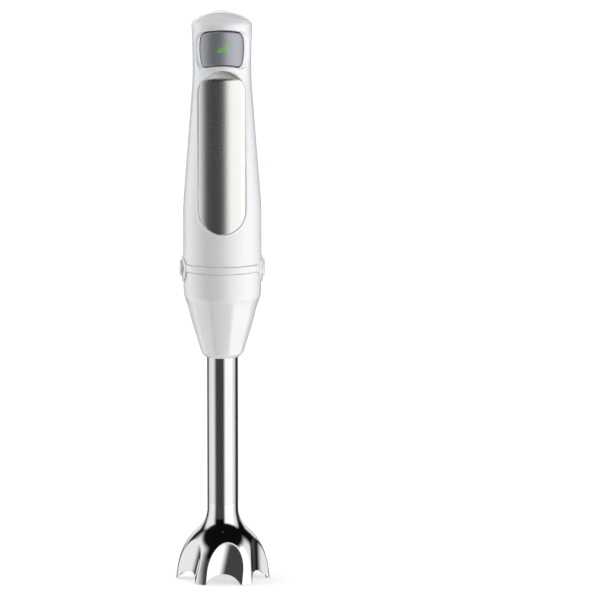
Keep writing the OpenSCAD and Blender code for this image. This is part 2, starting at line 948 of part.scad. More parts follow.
bell();
shaft_tube();
bell_insert();
lower_bush();
shaft_seal();
upper_bush();
coupling_housing();
coupling_core();
blade();
blade_hub();
drive_shaft();
drive_socket();
retaining_clip();
front_shell();
rear_shell();
rear_grip();
top_cap();
steel_panel();
lower_collar();
collar_seal();
cord_gland();
motor_lower_bracket();
motor_upper_bracket();
stator_stack();
field_coils();
lower_motor_bush();
upper_motor_bush();
motor_screws();
brush_holders();
carbon_brushes();
brush_springs();
control_board();
board_components();
internal_leads();
switch_carrier();
switch_pin();
rotor_shaft();
armature_core();
armature_windings();
commutator();
cooling_fan();
drive_coupler();
switch_cap();
speed_indicator();
switch_spring();
unlock_button();
unlock_spring();
release_button_left();
latch_left();
latch_spring_left();
release_button_right();
latch_right();
latch_spring_right();
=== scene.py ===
"""Immersion blender: smooth skins, finishes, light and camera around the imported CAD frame.

Lengths are millimetres until a mesh is written. Azimuth is measured from the front (-Y) towards
the right (+X), in radians unless a name says degrees.
"""

import math

import bpy
import numpy as np
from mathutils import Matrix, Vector
from mathutils.geometry import delaunay_2d_cdt
from mathutils.kdtree import KDTree


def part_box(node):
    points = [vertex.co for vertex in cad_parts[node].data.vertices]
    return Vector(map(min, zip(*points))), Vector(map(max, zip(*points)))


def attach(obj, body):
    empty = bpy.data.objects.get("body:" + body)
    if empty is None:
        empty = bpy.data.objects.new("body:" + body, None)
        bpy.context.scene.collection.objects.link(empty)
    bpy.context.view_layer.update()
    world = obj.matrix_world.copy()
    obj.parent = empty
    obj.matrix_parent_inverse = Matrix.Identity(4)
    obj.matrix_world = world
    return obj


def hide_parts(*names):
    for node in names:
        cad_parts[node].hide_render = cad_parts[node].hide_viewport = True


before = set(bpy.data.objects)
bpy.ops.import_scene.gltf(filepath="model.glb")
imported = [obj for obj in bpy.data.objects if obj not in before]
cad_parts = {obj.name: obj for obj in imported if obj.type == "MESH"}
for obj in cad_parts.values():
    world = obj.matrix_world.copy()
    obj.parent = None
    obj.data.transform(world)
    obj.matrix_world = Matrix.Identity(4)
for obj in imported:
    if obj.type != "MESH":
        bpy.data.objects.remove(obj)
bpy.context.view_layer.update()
MM = 0.001

# ---------------------------------------------------------------- handle outline

HANDLE_R, NECK_R, CROWN_R = 27.0, 20.2, 20.85
TAPER_START, TAPER_FULL, TAPER_END, NECK_Z = 256.0, 268.0, 340.0, 358.0
SLOPE = (HANDLE_R - NECK_R) / (
    (TAPER_FULL - TAPER_START) / 2 + TAPER_END - TAPER_FULL + (NECK_Z - TAPER_END) / 2
)
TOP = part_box("top_cap")[1].z / MM
CORNER_R, BALL_R = 4.4, 33.0
BALL_Z = TOP - BALL_R
CORNER_X = CROWN_R - CORNER_R
CORNER_Z = BALL_Z + math.sqrt((BALL_R - CORNER_R) ** 2 - CORNER_X**2)
CORNER_TURN = math.atan2(CORNER_Z - BALL_Z, CORNER_X)
CASING_LOW = 221.5
SPLIT_Y, SPLIT_GAP = 6.5, 0.1
SEAM_Z, SEAM_LEAN = 386.6, math.radians(14.8)
SEAM_TAN = math.tan(SEAM_LEAN)
GAP = 0.15


def handle_radius(z):
    z = np.asarray(z, float)
    return np.select(
        [z < TAPER_START, z < TAPER_FULL, z < TAPER_END, z < NECK_Z],
        [
            np.full_like(z, HANDLE_R),
            HANDLE_R - SLOPE * (z - TAPER_START) ** 2 / (2 * (TAPER_FULL - TAPER_START)),
            HANDLE_R - SLOPE * (z - (TAPER_START + TAPER_FULL) / 2),
            NECK_R + SLOPE * (NECK_Z - z) ** 2 / (2 * (NECK_Z - TAPER_END)),
        ],
        NECK_R + (CROWN_R - NECK_R) * ((z - NECK_Z) / (CORNER_Z - NECK_Z)) ** 2,
    )


class Outline:
    """A half outline of a solid of revolution, walked by its arc length."""

    def __init__(self, r, z):
        self.r, self.z = np.asarray(r, float), np.asarray(z, float)
        step = np.hypot(np.diff(self.r), np.diff(self.z))
        self.s = np.concatenate([[0], np.cumsum(step)])
        tr, tz = np.gradient(self.r, self.s), np.gradient(self.z, self.s)
        length = np.hypot(tr, tz)
        self.nr, self.nz = tz / length, -tr / length
        self.length = self.s[-1]

    def at(self, s, depth=0.0):
        """Radius and height at arc length s, sunk by depth below the outline."""
        r, z, nr, nz = (
            np.interp(s, self.s, a) for a in (self.r, self.z, self.nr, self.nz)
        )
        return r - depth * nr, z - depth * nz

    def reach(self, z):
        """Arc length at a height, where the outline only climbs."""
        return np.interp(z, self.z, self.s)


def handle_outline():
    z = np.arange(CASING_LOW, CORNER_Z, 0.5)
    a = np.linspace(0, CORNER_TURN, 24)
    b = np.linspace(CORNER_TURN, math.pi / 2, 60)[1:]
    r = [handle_radius(z), CORNER_X + CORNER_R * np.cos(a), BALL_R * np.cos(b)]
    h = [z, CORNER_Z + CORNER_R * np.sin(a), BALL_Z + BALL_R * np.sin(b)]
    return Outline(np.concatenate(r), np.concatenate(h))


HANDLE = handle_outline()

# ---------------------------------------------------------------- outlines drawn on the front

PANEL_HALF, PANEL_LOW, PANEL_HIGH = 16.2, 243.9, 355.9
SWITCH_HALF, SWITCH_LOW, SWITCH_HIGH, SWITCH_Z = 15.5, 360.0, 383.0, 371.0
SWITCH_R = 20.7
SIDE_ARC_R, TOP_ARC_R, FOOT_ARC_R, SWITCH_CORNER = 45.0, 55.0, 48.0, 2.6
ARC_STEP, STRAIGHT_STEP = 0.8, 2.0
HALVINGS = 40


def panel_distance(x, z):
    """Signed distance to the front panel's stadium outline, negative inside."""
    low, high = PANEL_LOW + PANEL_HALF, PANEL_HIGH - PANEL_HALF
    return np.hypot(x, z - np.clip(z, low, high)) - PANEL_HALF


def rounded_max(parts, corner):
    """Signed distance of an intersection whose corners are rounded."""
    lifted = [p + corner for p in parts]
    outside = np.sqrt(sum(np.maximum(p, 0) ** 2 for p in lifted))
    return outside + np.minimum(np.maximum.reduce(lifted), 0) - corner


def switch_distance(x, z, side=0.0, rise=0.0, corner=SWITCH_CORNER):
    """Signed distance to the switch's outline, whose sides, top and foot may be grown."""
    sides = np.hypot(np.abs(x) + SIDE_ARC_R - SWITCH_HALF, z - SWITCH_Z) - SIDE_ARC_R - side
    top = np.hypot(x, z - (SWITCH_HIGH - TOP_ARC_R)) - TOP_ARC_R - rise
    foot = FOOT_ARC_R - rise - np.hypot(x, z - (SWITCH_LOW - FOOT_ARC_R))
    return rounded_max([sides, top, foot], corner)


def level(distance, centre, value, count, reach=90.0):
    """Closed loop on which a distance has a value, found along rays from a centre inside it."""
    turn = np.linspace(0, math.tau, count, endpoint=False)
    dx, dz = np.cos(turn), np.sin(turn)
    near, far = np.zeros(count), np.full(count, reach)
    for _ in range(HALVINGS):
        mid = (near + far) / 2
        inside = distance(centre[0] + mid * dx, centre[1] + mid * dz) < value
        near, far = np.where(inside, mid, near), np.where(inside, far, mid)
    return np.stack([centre[0] + near * dx, centre[1] + near * dz], 1)


def stadium_loop(grow):
    """The panel's outline grown, as a closed loop of nearly even steps."""
    r = PANEL_HALF + grow
    low, high = PANEL_LOW + PANEL_HALF, PANEL_HIGH - PANEL_HALF
    over = np.linspace(0, math.pi, int(math.pi * r / ARC_STEP))
    straight = np.linspace(high, low, int((high - low) / STRAIGHT_STEP))[1:-1]
    top = np.stack([r * np.cos(over), high + r * np.sin(over)], 1)
    left = np.stack([np.full_like(straight, -r), straight], 1)
    under = np.stack([-r * np.cos(over), low - r * np.sin(over)], 1)
    right = np.stack([np.full_like(straight, r), straight[::-1]], 1)
    return np.concatenate([top, left, under, right])


# ---------------------------------------------------------------- meshes

RINGS = 1 - np.cos(np.linspace(0, math.pi / 2, 6))  # insets of a rounded edge's rings, radius 1
SHARP = math.radians(38)
GRID_CLEAR = 0.6  # share of a grid step that grid points keep from loops and chains
MERGE = 1e-4


def rounding(distance, radius):
    """How far a rounded edge sinks at a distance from the edge."""
    t = np.clip(radius - distance, 0, radius)
    return radius - np.sqrt(np.maximum(radius**2 - t**2, 0))


def step_down(distance, low, high):
    """1 below low, 0 above high, and a smooth run between them."""
    t = np.clip((distance - low) / (high - low), 0, 1)
    return 1 - t * t * (3 - 2 * t)


def fill(loops, chains, keep, spacing, origin, extent):
    """Triangles over a flat region: loops and chains become edges, and keep says which stay."""
    points, edges = [], []
    for line, closed in [(a, True) for a in loops] + [(a, False) for a in chains]:
        start = len(points)
        points += [tuple(p) for p in line]
        edges += [(start + i, start + i + 1) for i in range(len(line) - 1)]
        if closed:
            edges.append((start + len(line) - 1, start))
    tree = KDTree(len(points))
    for i, p in enumerate(points):
        tree.insert((p[0], p[1], 0), i)
    tree.balance()
    du, dv = spacing
    for row, v in enumerate(np.arange(origin[1], extent[1], dv), 1):
        for u in np.arange(origin[0] + (row % 2) * du / 2, extent[0], du):
            if tree.find((u, v, 0))[2] > GRID_CLEAR * du:
                points.append((u, v))
    made = delaunay_2d_cdt([Vector(p) for p in points], edges, [], 0, MERGE)
    flat = np.array([tuple(p) for p in made[0]])
    faces = np.array(made[2])
    faces = faces[keep(flat[faces].mean(1))]
    used, faces = np.unique(faces, return_inverse=True)
    return flat[used], faces.reshape(-1, 3)


def mesh_object(name, vertices, faces, body, slot, nodes):
    """Writes a mesh and says what it rides on, what it is made of and which nodes it replaces."""
    mesh = bpy.data.meshes.new(name)
    mesh.from_pydata((np.asarray(vertices) * MM).tolist(), [], faces)
    mesh.update()
    mesh.polygons.foreach_set("use_smooth", [True] * len(mesh.polygons))
    mesh.set_sharp_from_angle(angle=SHARP)
    piece = bpy.data.objects.new(name, mesh)
    bpy.context.scene.collection.objects.link(piece)
    mesh.materials.append(finishes[slot])
    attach(piece, body)
    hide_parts(*nodes)


def skin(name, flat, faces, outer, inner, body, slot, nodes):
    """Closed piece between an outer and an inner surface over the same flat triangles."""
    n = len(flat)
    vertices = np.concatenate([outer(flat), inner(flat)])
    sides = np.concatenate([faces[:, [0, 1]], faces[:, [1, 2]], faces[:, [2, 0]]])
    held = {(a, b) for a, b in sides.tolist()}
    walls = [(b, a, a + n, b + n) for a, b in held if (b, a) not in held]
    every = faces.tolist() + (faces[:, ::-1] + n).tolist() + sorted(walls)
    mesh_object(name, vertices, every, body, slot, nodes)


def sleeve(name, turn, low, high, outer, inner, rows, edge, body, slot, nodes):
    """Closed ring between an outer and an inner radius, from a low to a high rim, both rounded."""
    close = edge * RINGS
    middle = np.linspace(0, 1, rows)[1:-1]
    low, high = low(turn), high(turn)

    def grid(radius, sign):
        lines = [low + c for c in close]
        lines += [low + close[-1] + (high - low - 2 * close[-1]) * m for m in middle]
        lines += [high - c for c in close[::-1]]
        z = np.array(lines)
        r = radius(turn, z) - sign * (
            rounding(z - low, edge) + rounding(high - z, edge)
        )
        return np.stack([r * np.sin(turn), -r * np.cos(turn), z], -1)

    outside, inside = grid(outer, 1), grid(inner, -1)[::-1]
    points = np.concatenate([outside, inside])
    count, around = points.shape[:2]
    i, j = np.meshgrid(np.arange(count), np.arange(around), indexing="ij")
    up, over = (i + 1) % count, (j + 1) % around
    faces = np.stack(
        [i * around + j, i * around + over, up * around + over, up * around + j], -1
    )
    mesh_object(
        name, points.reshape(-1, 3), faces.reshape(-1, 4).tolist(), body, slot, nodes
    )


# ---------------------------------------------------------------- finishes

finishes = {}
NOISE_LOW, NOISE_HIGH = 0.3, 0.7  # most of a noise lies between these


class Nodes:
    """Short names for making and linking shader nodes."""

    def __init__(self, tree):
        self.tree = tree
        self.tree.nodes.clear()

    def add(self, kind, inputs=None, **settings):
        node = self.tree.nodes.new(kind)
        for key, value in settings.items():
            setattr(node, key, value)
        for key, value in (inputs or {}).items():
            self.put(node.inputs[key], value)
        return node

    def put(self, socket, value):
        if isinstance(value, bpy.types.NodeSocket):
            self.tree.links.new(value, socket)
        else:
            socket.default_value = value

    def math(self, operation, a, b=0.0):
        return self.add("ShaderNodeMath", {0: a, 1: b}, operation=operation).outputs[0]

    def noise(self, where, scale, stretch=(1, 1, 1), detail=3.0):
        mapped = self.add("ShaderNodeMapping", {"Vector": where, "Scale": stretch})
        made = self.add(
            "ShaderNodeTexNoise",
            {"Vector": mapped.outputs[0], "Scale": scale, "Detail": detail},
        )
        return made.outputs[0]

    def span(self, value, low, high, out_low, out_high, smooth=False):
        made = self.add(
            "ShaderNodeMapRange",
            {0: value, 1: low, 2: high, 3: out_low, 4: out_high},
            interpolation_type="SMOOTHSTEP" if smooth else "LINEAR",
        )
        return made.outputs[0]

    def blend(self, amount, a, b):
        """A mix of two colours, which have the node's seventh and eighth inputs."""
        made = self.add("ShaderNodeMix", data_type="RGBA")
        self.put(made.inputs[0], amount)
        self.put(made.inputs[6], a)
        self.put(made.inputs[7], b)
        return made.outputs[2]


def tint(colour, factor):
    return (*[min(1.0, c * factor) for c in colour], 1.0)


def make_finish(
    slot, colour, rough, metallic, cloud, haze, grain, stretch=(1, 1, 1), coat=0.0
):
    """A finish with slow clouds in colour and gloss and a fine grain in its bump.

    cloud is the scale and strength of the clouds, haze how far the roughness varies to either
    side, and grain the scale of the grain and its height in metres.
    """
    material = bpy.data.materials.new(slot)
    material.use_nodes = True
    n = Nodes(material.node_tree)
    where = n.add("ShaderNodeTexCoord").outputs["Object"]
    slow = n.noise(where, cloud[0])
    fine = n.noise(where, grain[0], stretch, 2.0)
    mixed = n.blend(slow, tint(colour, 1 - cloud[1]), tint(colour, 1 + cloud[1]))
    gloss = n.math(
        "ADD",
        n.span(slow, NOISE_LOW, NOISE_HIGH, rough - haze, rough),
        n.span(fine, NOISE_LOW, NOISE_HIGH, 0.0, haze),
    )
    bump = n.add(
        "ShaderNodeBump", {"Height": fine, "Strength": 1.0, "Distance": grain[1]}
    )
    shader = n.add(
        "ShaderNodeBsdfPrincipled",
        {
            "Base Color": mixed,
            "Roughness": gloss,
            "Metallic": metallic,
            "Specular IOR Level": 0.5,
            "Coat Weight": coat,
            "Coat Roughness": 0.05,
            "Normal": bump.outputs[0],
        },
    )
    n.add("ShaderNodeOutputMaterial", {0: shader.outputs[0]})
    finishes[slot] = material


ALONG = (1, 1, 0.02)  # a grain drawn out along the height
ACROSS = (0.03, 0.03, 1)  # a grain drawn out level
make_finish("polished_steel", (0.86, 0.86, 0.84), 0.035, 1, (25, 0.02), 0.02, (260, 2e-6))
make_finish("tube_steel", (0.80, 0.80, 0.785), 0.15, 1, (30, 0.03), 0.03, (2600, 1e-6), ALONG)
make_finish("panel_steel", (0.78, 0.78, 0.755), 0.27, 1, (30, 0.03), 0.02, (4200, 3e-7), ACROSS)
make_finish("blade_steel", (0.74, 0.74, 0.75), 0.24, 1, (90, 0.06), 0.08, (1500, 8e-6))
make_finish(
    "white_plastic", (0.90, 0.912, 0.925), 0.16, 0, (40, 0.008), 0.04, (700, 3e-6), coat=0.25
)
make_finish("grip_plastic", (0.56, 0.60, 0.64), 0.55, 0, (60, 0.03), 0.08, (1600, 4e-5))
make_finish("switch_plastic", (0.42, 0.43, 0.47), 0.4, 0.6, (50, 0.02), 0.06, (2200, 6e-6))
make_finish("green_print", (0.16, 0.72, 0.06), 0.35, 0, (300, 0.06), 0.06, (2000, 6e-6))
make_finish("inner_plastic", (0.52, 0.53, 0.55), 0.45, 0, (60, 0.04), 0.08, (1200, 3e-5))
make_finish("dark_plastic", (0.035, 0.035, 0.04), 0.42, 0, (80, 0.12), 0.08, (1200, 3e-5))
make_finish("bronze", (0.50, 0.33, 0.17), 0.42, 1, (300, 0.12), 0.1, (2600, 3e-5))
make_finish("brass", (0.76, 0.56, 0.25), 0.26, 1, (80, 0.06), 0.08, (1500, 8e-6))
make_finish("rubber", (0.03, 0.03, 0.03), 0.72, 0, (90, 0.15), 0.08, (1800, 5e-5))
make_finish("spring_steel", (0.58, 0.58, 0.60), 0.28, 1, (200, 0.08), 0.08, (2600, 1e-5))
make_finish("laminated_steel", (0.20, 0.21, 0.23), 0.4, 0.8, (60, 0.08), 0.08, (900, 8e-5), ACROSS)
make_finish("copper_wire", (0.62, 0.27, 0.11), 0.32, 0.9, (120, 0.1), 0.08, (1100, 1.6e-4), ACROSS)
make_finish("carbon", (0.03, 0.03, 0.032), 0.5, 0, (200, 0.2), 0.1, (2600, 3e-5))
make_finish("board_laminate", (0.02, 0.15, 0.05), 0.38, 0, (120, 0.2), 0.06, (700, 3e-5))
make_finish("lead_insulation", (0.05, 0.10, 0.24), 0.5, 0, (100, 0.08), 0.08, (1500, 3e-5))

for node_name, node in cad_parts.items():
    for holder in node.material_slots:
        base = holder.material.name.split(".")[0] if holder.material else ""
        if base not in finishes:
            raise SystemExit(f"{node_name} has a material {base!r} that has no finish")
        holder.material = finishes[base]

# ---------------------------------------------------------------- bell

TUBE_R = 10.7
BELL_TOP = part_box("bell")[1].z / MM
NECK_ARC_R, DOME_HIGH_R, DOME_LOW_R = 18.3, 41.0, 44.0
NECK_LEAN, DOME_LEAN, SKIRT_LEAN = (math.radians(a) for a in (49.5, 25, 8))
NECK_CENTRE = np.array([TUBE_R + NECK_ARC_R, 48.9])
FOOT_COUNT = 6
BELL_T, BELL_CRISP = 1.0, 3.0


def lean(a):
    """Unit vector, as radius and height, at an angle above level."""
    return np.array([math.cos(a), math.sin(a)])


def bell_outline():
    high = NECK_CENTRE - (NECK_ARC_R + DOME_HIGH_R) * lean(NECK_LEAN)
    low = high + (DOME_HIGH_R - DOME_LOW_R) * lean(DOME_LEAN)

    def run(centre, r, start, end, count):
        a = np.linspace(start, end, count)
        return centre + r * np.stack([np.cos(a), np.sin(a)], 1)

    skirt = run(low, DOME_LOW_R, SKIRT_LEAN, DOME_LEAN, 40)
    foot = skirt[0] + skirt[0][1] * np.array([math.tan(SKIRT_LEAN), -1])
    dome = run(high, DOME_HIGH_R, DOME_LEAN, NECK_LEAN, 40)[1:]
    neck = run(NECK_CENTRE, NECK_ARC_R, math.pi + NECK_LEAN, math.pi, 80)[1:]
    points = np.concatenate([[foot], skirt, dome, neck, [[TUBE_R, BELL_TOP]]])
    return Outline(points[:, 0], points[:, 1])


BELL = bell_outline()
SCOOP_R, SCOOP_FOOT = 29.0, 27.4
SCOOP_LEAN, SCOOP_SWIRL = math.radians(-9), math.radians(12)
MISSED = 99.0  # radius given to a ray that doesn't meet the scoop


def scoop_radius(turn, z, inset):
    """How far from the axis a ray meets the cylinder that scoops the panel facing azimuth 0."""
    cx, sx = math.cos(SCOOP_LEAN), math.sin(SCOOP_LEAN)
    cy, sy = math.cos(SCOOP_SWIRL), math.sin(SCOOP_SWIRL)
    back = np.array([[cy, sy * sx, sy * cx], [0, cx, -sx], [-sy, cy * sx, cy * cx]]).T
    ray = [np.sin(turn), -np.cos(turn)]
    ex = back[0][0] * ray[0] + back[0][1] * ray[1]
    ey = back[1][0] * ray[0] + back[1][1] * ray[1]
    fx = back[0][1] * SCOOP_FOOT + back[0][2] * z
    fy = back[1][1] * SCOOP_FOOT + back[1][2] * z + SCOOP_R
    a, b = ex**2 + ey**2, ex * fx + ey * fy
    inside = b**2 - a * (fx**2 + fy**2 - (SCOOP_R + inset) ** 2)
    met = (-b - np.sqrt(np.maximum(inside, 0))) / a
    return np.where((inside > 0) & (met > 0), met, MISSED)


def bell_radius(inset):
    """Radius of the bell's skin, where its outline and the six scoops meet in soft creases."""

    def radius(turn, z):
        r, nr = np.interp(z, BELL.z, BELL.r), np.interp(z, BELL.z, BELL.nr)
        total = np.exp(-BELL_CRISP * (r - inset / nr))
        for i in range(FOOT_COUNT):
            total = total + np.exp(
                -BELL_CRISP * scoop_radius(turn - i * math.tau / FOOT_COUNT, z, inset)
            )
        return -np.log(total) / BELL_CRISP

    return radius


NOTCH_R, NOTCH_H = 14.3, 7.0
NOTCH_CRISP, EXPONENT_LIMIT = 5, 40


def bell_rim(turn):
    """Height of the rim: round notches under the scoops, level feet between them."""
    nearest = np.round(turn / (math.tau / FOOT_COUNT)) * math.tau / FOOT_COUNT
    z = np.zeros_like(turn)
    for _ in range(8):
        across = bell_radius(0)(turn, z) * np.sin(turn - nearest)
        z = NOTCH_H - NOTCH_R + np.sqrt(np.maximum(NOTCH_R**2 - across**2, 0))
        z = np.clip(z * NOTCH_CRISP, -EXPONENT_LIMIT, EXPONENT_LIMIT)
        z = np.log(1 + np.exp(z)) / NOTCH_CRISP
    return z


sleeve(
    "bell_skin",
    np.linspace(0, math.tau, 960, endpoint=False),
    bell_rim,
    lambda turn: np.full_like(turn, BELL_TOP),
    bell_radius(0),
    bell_radius(BELL_T),
    rows=120,
    edge=0.3,
    body="blending_shaft",
    slot="polished_steel",
    nodes=["bell"],
)

# ---------------------------------------------------------------- coupling housing

# Radius and height
HOUSING = np.array(
    [
        [11.3, 155.5],
        [14.4, 158.1],
        [15.2, 160.4],
        [20.6, 177.8],
        [24.3, 191.7],
        [25.5, 195.2],
        [26.4, 198.5],
        [26.8, 203.0],
        [26.8, 216.1],
    ]
)
HOUSING_BORE = np.array([[TUBE_R, 155.5], [TUBE_R, 159.5], [13.4, 161.5], [24.5, 216.1]])
WALL_SHARE, WALL_LEAST = 0.92, 0.6
SOFT_HEIGHTS = np.linspace(-0.5, 0.5, 5)
FACETS, FACET_STRENGTH, FACET_CRISP = 10, 0.6, 60.0
FACETS_RISE, FACETS_END = (156.5, 161.0), (195.4, 197.4)
EYELET_Z, EYELET_R, EYELET_SIDE, EYELET_GAP = 217.6, 8.8, 2.95, 0.3


def housing_radius(turn, z):
    """Radius of the housing's skin: its outline, softened, with shallow flats round the cone."""
    r = np.mean([np.interp(z + d, HOUSING[:, 1], HOUSING[:, 0]) for d in SOFT_HEIGHTS], 0)
    r = np.minimum(r, np.interp(z, HOUSING[:, 1], HOUSING[:, 0]))
    away = (turn + math.pi / FACETS) % (math.tau / FACETS) - math.pi / FACETS
    flat = math.cos(math.pi / FACETS) / np.cos(away)
    next_flat = math.cos(math.pi / FACETS) / np.cos(math.tau / FACETS - np.abs(away))
    both = np.exp(-FACET_CRISP * flat) + np.exp(-FACET_CRISP * next_flat)
    flat = -np.log(both) / FACET_CRISP
    strength = FACET_STRENGTH * step_down(z, *FACETS_END) * (1 - step_down(z, *FACETS_RISE))
    return r * (1 - strength * (1 - np.minimum(flat, 1)))


def housing_rim(turn):
    """Height of the housing's rim, which dips under the collar's two eyelets."""
    y = HANDLE_R * np.cos(turn)
    beyond = np.maximum(np.abs(y) - EYELET_SIDE, 0)
    reach = EYELET_R + EYELET_GAP
    arc = EYELET_Z - np.sqrt(np.maximum(reach**2 - beyond**2, 0))
    return np.where(beyond < reach, np.minimum(arc, HOUSING[-1, 1]), HOUSING[-1, 1])


def housing_bore(turn, z):
    """Radius of the housing's inside, the same all round."""
    r = np.interp(z, HOUSING_BORE[:, 1], HOUSING_BORE[:, 0])
    outer = np.interp(z, HOUSING[:, 1], HOUSING[:, 0])
    return np.minimum(r, outer * WALL_SHARE - WALL_LEAST)


def housing_turns():
    """Azimuths of the housing's columns, which stand closer together at the eyelets."""
    even = np.linspace(0, math.tau, 360, endpoint=False)
    close = np.linspace(-0.6, 0.6, 261)
    eyelets = [side + close for side in (math.pi / 2, 3 * math.pi / 2)]
    return np.unique(np.round(np.concatenate([even, *eyelets]), 4))


sleeve(
    "housing_skin",
    housing_turns(),
    lambda turn: np.full_like(turn, HOUSING[0, 1]),
    housing_rim,
    housing_radius,
    housing_bore,
    rows=70,
    edge=0.35,
    body="blending_shaft",
    slot="white_plastic",
    nodes=["coupling_housing"],
)

# ---------------------------------------------------------------- handle casing

UNROLL = 24.0  # radius at which azimuth is unrolled into a length
CASING_EDGE, FRONT_T, REAR_T = 0.22, 2.2, 2.3
PANEL_LEAN, LEAN_START, LEAN_CRISP = math.radians(5.5), TAPER_START + 2, 3.0
HOOK_Z, HOOK_LEAN, HOOK_BEND = 348.3, math.tan(math.radians(31)), 0.6


def on_handle(back):
    """Places flat points (unrolled azimuth, arc length) on the handle, sunk by a depth."""
    flip = -1.0 if back else 1.0

    def place(flat, depth):
        r, z = HANDLE.at(flat[:, 1], depth)
        turn = flat[:, 0] / UNROLL
        return np.stack([flip * r * np.sin(turn), -flip * r * np.cos(turn), z], 1)

    return place


def front_view(flat):
    """Sideways place and height of flat points on the handle."""
    r, z = HANDLE.at(flat[:, 1])
    return r * np.sin(flat[:, 0] / UNROLL), z


def flatten(loop):
    """A loop drawn in sideways place and height, brought to flat points on the handle."""
    x, z = loop[:, 0], loop[:, 1]
    turn = np.arcsin(np.clip(x / handle_radius(z), -1, 1))
    return np.stack([turn * UNROLL, HANDLE.reach(z)], 1)


def seam_height(turn, back):
    """Arc length at which the handle meets the crown's seam."""
    face = -1.0 if back else 1.0
    high = HANDLE.z[None] - (SEAM_Z - GAP) - face * np.cos(turn)[:, None] * HANDLE.r * SEAM_TAN
    index = np.argmax(high > 0, 1)
    rows = np.arange(len(turn))
    a, b = high[rows, index - 1], high[rows, index]
    share = -a / (b - a)
    return HANDLE.s[index - 1] + share * (HANDLE.s[index] - HANDLE.s[index - 1])


def split_turn(s, side_y):
    """Azimuth at which the handle has a given depth from front to back, at an arc length."""
    r, _ = HANDLE.at(s)
    return np.arccos(np.clip(side_y / r, -1, 1))


class Casing:
    """One half of the handle's casing: its edges, and how deep their rounding goes."""

    def __init__(self, back):
        self.back = back
        self.side_y = -(SPLIT_Y - SPLIT_GAP) if back else SPLIT_Y + SPLIT_GAP

    def parting(self, s, inset):
        """The half's two side edges, moved in by an inset."""
        turn = split_turn(s, self.side_y) - inset / HANDLE.at(s)[0]
        return [np.stack([sign * turn * UNROLL, s], 1) for sign in (-1, 1)]

    def chains(self):
        """The rings of all the half's edges, a little longer than needed."""
        s = np.arange(-2, HANDLE.length - 12, 1.5)
        widest = math.acos(self.side_y / HANDLE_R) + 0.05
        over = np.linspace(-widest - 0.2, widest + 0.2, 121)
        lines = []
        for c in CASING_EDGE * RINGS:
            lines += self.parting(s, c)
            lines.append(np.stack([over * UNROLL, np.full_like(over, c)], 1))
            lines.append(np.stack([over * UNROLL, seam_height(over, self.back) - c], 1))
        return lines

    def inside_parting(self, flat):
        """Distance inside the half's side edges, negative outside."""
        turn, s = np.abs(flat[:, 0] / UNROLL), flat[:, 1]
        return (split_turn(s, self.side_y) - turn) * HANDLE.at(s)[0]

    def distances(self, flat):
        """Distances inside the side edges, the foot and the seam, negative outside."""
        turn, s = np.abs(flat[:, 0] / UNROLL), flat[:, 1]
        return [self.inside_parting(flat), s, seam_height(turn, self.back) - s]

    def distance(self, flat):
        return np.minimum.reduce(self.distances(flat))

    def depth(self, flat):
        return np.maximum.reduce([rounding(d, CASING_EDGE) for d in self.distances(flat)])


PANEL_GAP, PANEL_EDGE = 0.12, 0.45
PANEL_LIP, PANEL_LIP_LOW = 1.3, 250
BEAD_WIDTH, BEAD_HEIGHT = 1.5, 0.28
BEAD_RINGS = (0.65, 0.85, 1.05, 1.25, 1.5, 1.9)
WINDOW_GAP, WINDOW_LIP, WINDOW_LIP_T = 0.9, 0.8, 0.5
WINDOW_RINGS, WINDOW_POINTS = (0.0, 0.35), 150
POCKET_SIDE, POCKET_RISE, POCKET_DEPTH, POCKET_CORNER = 3.4, 1.5, 1.25, 4.0
POCKET_RINGS = (-1.5, -1.2, -0.9, -0.6, -0.3, 0.0, 0.25)


def window_distance(x, z):
    return switch_distance(x, z) - WINDOW_GAP


def pocket_distance(x, z):
    return switch_distance(x, z, POCKET_SIDE, POCKET_RISE, POCKET_CORNER)


def panel_front(x, z):
    """Where the steel panel's face stands, as y: upright below, leaning back above."""
    bow = np.sqrt(HANDLE_R**2 - x**2)
    leaning = (-bow + (z - LEAN_START) * math.sin(PANEL_LEAN)) / math.cos(PANEL_LEAN)
    k, shift = LEAN_CRISP, 20  # the shift keeps the exponentials from getting too small
    face = np.log(np.exp(-k * bow + k * shift) + np.exp(k * leaning + k * shift)) / k - shift
    hook = np.maximum(z - HOOK_Z, 0)
    return face + HOOK_LEAN * hook**2 / (hook + HOOK_BEND)


def panel_sunk(x, z):
    """How deep the panel's face lies below the handle's outline."""
    r = handle_radius(z)
    return np.sqrt(np.maximum(r**2 - x**2, 0)) + panel_front(x, z)


def front_depth(flat):
    """How deep the outer face is sunk at its edges, round the panel and round the switch."""
    x, z = front_view(flat)
    beyond = panel_distance(x, z) - PANEL_GAP
    bead = np.sin(math.pi * np.clip(beyond / BEAD_WIDTH, 0, 1)) ** 2
    panel = rounding(beyond, PANEL_EDGE) - BEAD_HEIGHT * bead
    pocket = POCKET_DEPTH * step_down(
        pocket_distance(x, z), POCKET_RINGS[0], POCKET_RINGS[-1]
    )
    return np.maximum(pocket, front.depth(flat)) + panel


def front_inside(flat):
    """Depth of the inner face: deeper beside the panel, shallower beside the switch's window."""
    x, z = front_view(flat)
    by_panel = (panel_distance(x, z) < PANEL_LIP) & (z > PANEL_LIP_LOW)
    lip = np.maximum(panel_sunk(x, z) + PANEL_LIP, FRONT_T)
    by_window = window_distance(x, z) < WINDOW_LIP
    return np.where(by_panel, lip, np.where(by_window, POCKET_DEPTH + WINDOW_LIP_T, FRONT_T))


